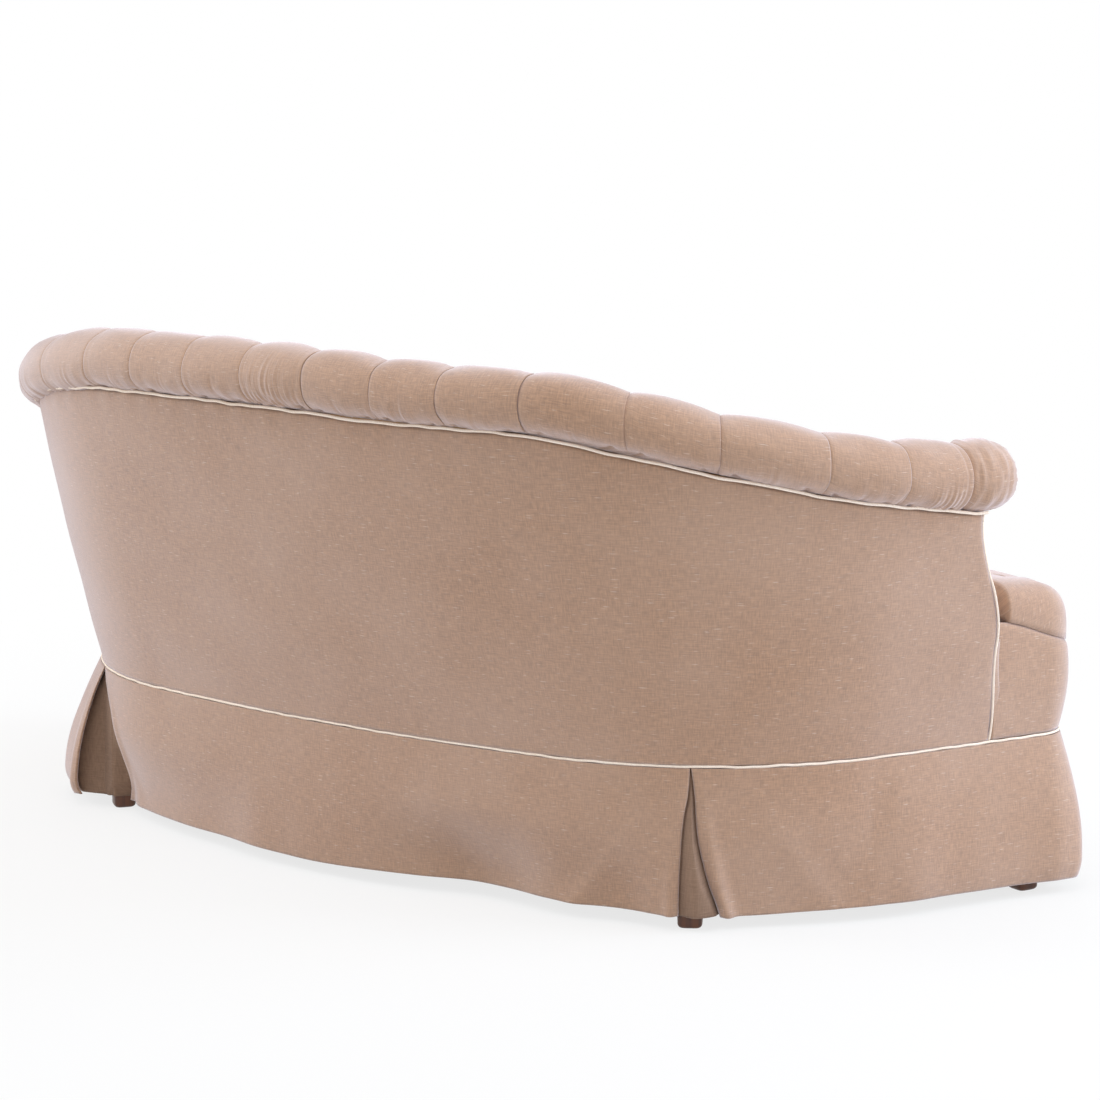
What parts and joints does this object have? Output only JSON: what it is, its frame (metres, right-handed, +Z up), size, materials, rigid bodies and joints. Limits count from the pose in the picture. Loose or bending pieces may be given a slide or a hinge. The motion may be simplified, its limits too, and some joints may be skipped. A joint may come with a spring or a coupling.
{
  "type": "settee",
  "caption": "Curved settee with a buttoned inner back, a pleated roll along its top, piped seams, a sprung T-shaped seat and a kick-pleated skirt over short tapered feet.",
  "frame": {"origin": "centre of the footprint, on the floor", "axes": "+Z up, the seat opens towards -Y, +X is the sitter's left and the longest side"},
  "size_m": [1.7818, 0.8598, 0.7882],
  "materials": {
    "beech": "sawn and planed, unfinished",
    "walnut": "satin lacquer",
    "linen": "plain weave with slubs, matt",
    "cream_piping": "plain weave over a cord",
    "jute_webbing": "coarse woven strip",
    "hessian": "open plain weave",
    "twine": "paper-wrapped wire",
    "black_cambric": "thin non-woven cloth",
    "spring_steel": "oiled wire",
    "zinc_steel": "zinc plated"
  },
  "bodies": {
    "root": {"arm_front_left": "linen", "arm_front_right": "linen", "arm_piping_left": "cream_piping", "arm_piping_right": "cream_piping", "arm_post_left": "beech", "arm_post_right": "beech", "back_buttons": "linen", "back_hessian": "hessian", "back_post_left": "beech", "back_post_right": "beech", "back_roll": "linen", "back_seat_rail": "beech", "back_upright_left": "beech", "back_upright_right": "beech", "back_webbing": "jute_webbing", "corner_block_left": "beech", "corner_block_right": "beech", "dust_cover": "black_cambric", "foot_back_left": "walnut", "foot_back_right": "walnut", "foot_bolts": "zinc_steel", "foot_front_left": "walnut", "foot_front_right": "walnut", "front_corner_post_left": "beech", "front_corner_post_right": "beech", "front_seat_rail": "beech", "inside_back": "linen", "outside_back": "linen", "pleat_underlay_back_left": "linen", "pleat_underlay_back_right": "linen", "pleat_underlay_front_left": "linen", "pleat_underlay_front_right": "linen", "seat_border_front": "linen", "seat_border_left": "linen", "seat_border_right": "linen", "seat_cross_rail_left": "beech", "seat_cross_rail_right": "beech", "seat_hessian": "hessian", "seat_pad": "linen", "seat_springs": "spring_steel", "side_seat_rail_left": "beech", "side_seat_rail_right": "beech", "skirt_back": "linen", "skirt_front": "linen", "skirt_left": "linen", "skirt_piping": "cream_piping", "skirt_right": "linen", "spring_clips": "spring_steel", "spring_ties": "twine", "tack_rail": "beech", "top_piping": "cream_piping", "top_rail_centre": "beech", "top_rail_left": "beech", "top_rail_right": "beech"}
  },
  "joints": []
}
